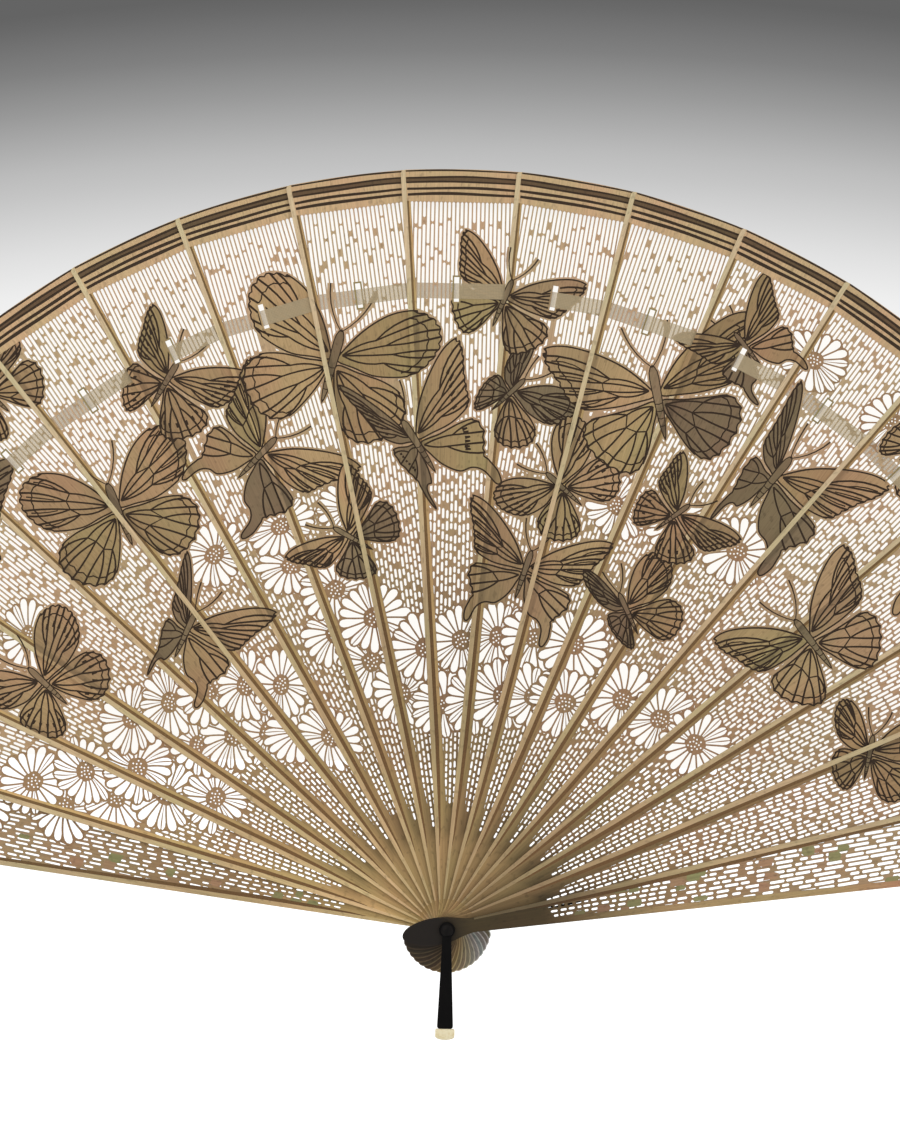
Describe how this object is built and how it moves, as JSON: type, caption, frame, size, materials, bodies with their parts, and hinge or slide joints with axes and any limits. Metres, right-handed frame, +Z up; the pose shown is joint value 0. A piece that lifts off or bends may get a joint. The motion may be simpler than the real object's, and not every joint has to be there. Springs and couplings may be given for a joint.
{
  "type": "hand fan",
  "caption": "Folding hand fan of rigid pierced horn sticks between two guards on one rivet, tied by a thin silk ribbon, with a small pendant.",
  "frame": {"origin": "on the rivet's axis, halfway through the stack of sticks", "axes": "the open fan lies in the XZ plane: +Z up along the middle blade, +X to the front guard's side, the front faces -Y"},
  "size_m": [0.4762, 0.0243, 0.2745],
  "materials": {
    "horn_blade": "pierced and polished pale horn, tinted rose and olive in places",
    "horn_guard": "pierced and polished pale horn, thicker than the blades",
    "silk_ribbon": "thin woven silk ribbon, grey green and translucent",
    "dark_metal": "blackened metal, satin",
    "black_lacquer": "black lacquer, glossy",
    "pale_tip": "pale cream bone, polished"
  },
  "bodies": {
    "front_guard": {"guard_front": "horn_guard", "ribbon_end_front": "silk_ribbon", "rivet": "dark_metal", "washer_front": "dark_metal", "washer_back": "dark_metal"},
    "stick_01": {"blade_01": "horn_blade", "ribbon_01": "silk_ribbon"},
    "stick_02": {"blade_02": "horn_blade", "ribbon_02": "silk_ribbon"},
    "stick_03": {"blade_03": "horn_blade", "ribbon_03": "silk_ribbon"},
    "stick_04": {"blade_04": "horn_blade", "ribbon_04": "silk_ribbon"},
    "stick_05": {"blade_05": "horn_blade", "ribbon_05": "silk_ribbon"},
    "stick_06": {"blade_06": "horn_blade", "ribbon_06": "silk_ribbon"},
    "stick_07": {"blade_07": "horn_blade", "ribbon_07": "silk_ribbon"},
    "stick_08": {"blade_08": "horn_blade", "ribbon_08": "silk_ribbon"},
    "stick_09": {"blade_09": "horn_blade", "ribbon_09": "silk_ribbon"},
    "stick_10": {"blade_10": "horn_blade", "ribbon_10": "silk_ribbon"},
    "stick_11": {"blade_11": "horn_blade", "ribbon_11": "silk_ribbon"},
    "stick_12": {"blade_12": "horn_blade", "ribbon_12": "silk_ribbon"},
    "stick_13": {"blade_13": "horn_blade", "ribbon_13": "silk_ribbon"},
    "stick_14": {"blade_14": "horn_blade", "ribbon_14": "silk_ribbon"},
    "stick_15": {"blade_15": "horn_blade", "ribbon_15": "silk_ribbon"},
    "stick_16": {"blade_16": "horn_blade", "ribbon_16": "silk_ribbon"},
    "stick_17": {"blade_17": "horn_blade", "ribbon_17": "silk_ribbon"},
    "back_guard": {"guard_back": "horn_guard", "ribbon_end_back": "silk_ribbon"},
    "pendant": {"pendant_bar": "black_lacquer", "pendant_tip": "pale_tip"}
  },
  "joints": [
    {"name": "fan_fold", "type": "hinge", "parent": "front_guard", "child": "back_guard", "pos_m": [0, 0, 0], "axis": [0, 1, 0], "range_deg": [0, 158]},
    {"name": "stick_01_turn", "type": "hinge", "parent": "front_guard", "child": "stick_01", "pos_m": [0, 0, 0], "axis": [0, 1, 0], "range_deg": [0, 8.83]},
    {"name": "stick_02_turn", "type": "hinge", "parent": "front_guard", "child": "stick_02", "pos_m": [0, 0, 0], "axis": [0, 1, 0], "range_deg": [0, 17.61]},
    {"name": "stick_03_turn", "type": "hinge", "parent": "front_guard", "child": "stick_03", "pos_m": [0, 0, 0], "axis": [0, 1, 0], "range_deg": [0, 26.38]},
    {"name": "stick_04_turn", "type": "hinge", "parent": "front_guard", "child": "stick_04", "pos_m": [0, 0, 0], "axis": [0, 1, 0], "range_deg": [0, 35.16]},
    {"name": "stick_05_turn", "type": "hinge", "parent": "front_guard", "child": "stick_05", "pos_m": [0, 0, 0], "axis": [0, 1, 0], "range_deg": [0, 43.94]},
    {"name": "stick_06_turn", "type": "hinge", "parent": "front_guard", "child": "stick_06", "pos_m": [0, 0, 0], "axis": [0, 1, 0], "range_deg": [0, 52.72]},
    {"name": "stick_07_turn", "type": "hinge", "parent": "front_guard", "child": "stick_07", "pos_m": [0, 0, 0], "axis": [0, 1, 0], "range_deg": [0, 61.49]},
    {"name": "stick_08_turn", "type": "hinge", "parent": "front_guard", "child": "stick_08", "pos_m": [0, 0, 0], "axis": [0, 1, 0], "range_deg": [0, 70.27]},
    {"name": "stick_09_turn", "type": "hinge", "parent": "front_guard", "child": "stick_09", "pos_m": [0, 0, 0], "axis": [0, 1, 0], "range_deg": [0, 79.05]},
    {"name": "stick_10_turn", "type": "hinge", "parent": "front_guard", "child": "stick_10", "pos_m": [0, 0, 0], "axis": [0, 1, 0], "range_deg": [0, 87.83]},
    {"name": "stick_11_turn", "type": "hinge", "parent": "front_guard", "child": "stick_11", "pos_m": [0, 0, 0], "axis": [0, 1, 0], "range_deg": [0, 96.61]},
    {"name": "stick_12_turn", "type": "hinge", "parent": "front_guard", "child": "stick_12", "pos_m": [0, 0, 0], "axis": [0, 1, 0], "range_deg": [0, 105.38]},
    {"name": "stick_13_turn", "type": "hinge", "parent": "front_guard", "child": "stick_13", "pos_m": [0, 0, 0], "axis": [0, 1, 0], "range_deg": [0, 114.16]},
    {"name": "stick_14_turn", "type": "hinge", "parent": "front_guard", "child": "stick_14", "pos_m": [0, 0, 0], "axis": [0, 1, 0], "range_deg": [0, 122.94]},
    {"name": "stick_15_turn", "type": "hinge", "parent": "front_guard", "child": "stick_15", "pos_m": [0, 0, 0], "axis": [0, 1, 0], "range_deg": [0, 131.72]},
    {"name": "stick_16_turn", "type": "hinge", "parent": "front_guard", "child": "stick_16", "pos_m": [0, 0, 0], "axis": [0, 1, 0], "range_deg": [0, 140.49]},
    {"name": "stick_17_turn", "type": "hinge", "parent": "front_guard", "child": "stick_17", "pos_m": [0, 0, 0], "axis": [0, 1, 0], "range_deg": [0, 149.27]},
    {"name": "pendant_swing", "type": "hinge", "parent": "front_guard", "child": "pendant", "pos_m": [0, 0, 0], "axis": [0, 1, 0], "continuous": true}
  ],
  "couplings": [
    {"joint": "stick_01_turn", "follows": "fan_fold", "ratio": 0.055556},
    {"joint": "stick_02_turn", "follows": "fan_fold", "ratio": 0.11111},
    {"joint": "stick_03_turn", "follows": "fan_fold", "ratio": 0.16667},
    {"joint": "stick_04_turn", "follows": "fan_fold", "ratio": 0.22222},
    {"joint": "stick_05_turn", "follows": "fan_fold", "ratio": 0.27778},
    {"joint": "stick_06_turn", "follows": "fan_fold", "ratio": 0.33333},
    {"joint": "stick_07_turn", "follows": "fan_fold", "ratio": 0.38889},
    {"joint": "stick_08_turn", "follows": "fan_fold", "ratio": 0.44444},
    {"joint": "stick_09_turn", "follows": "fan_fold", "ratio": 0.5},
    {"joint": "stick_10_turn", "follows": "fan_fold", "ratio": 0.55556},
    {"joint": "stick_11_turn", "follows": "fan_fold", "ratio": 0.61111},
    {"joint": "stick_12_turn", "follows": "fan_fold", "ratio": 0.66667},
    {"joint": "stick_13_turn", "follows": "fan_fold", "ratio": 0.72222},
    {"joint": "stick_14_turn", "follows": "fan_fold", "ratio": 0.77778},
    {"joint": "stick_15_turn", "follows": "fan_fold", "ratio": 0.83333},
    {"joint": "stick_16_turn", "follows": "fan_fold", "ratio": 0.88889},
    {"joint": "stick_17_turn", "follows": "fan_fold", "ratio": 0.94444}
  ]
}
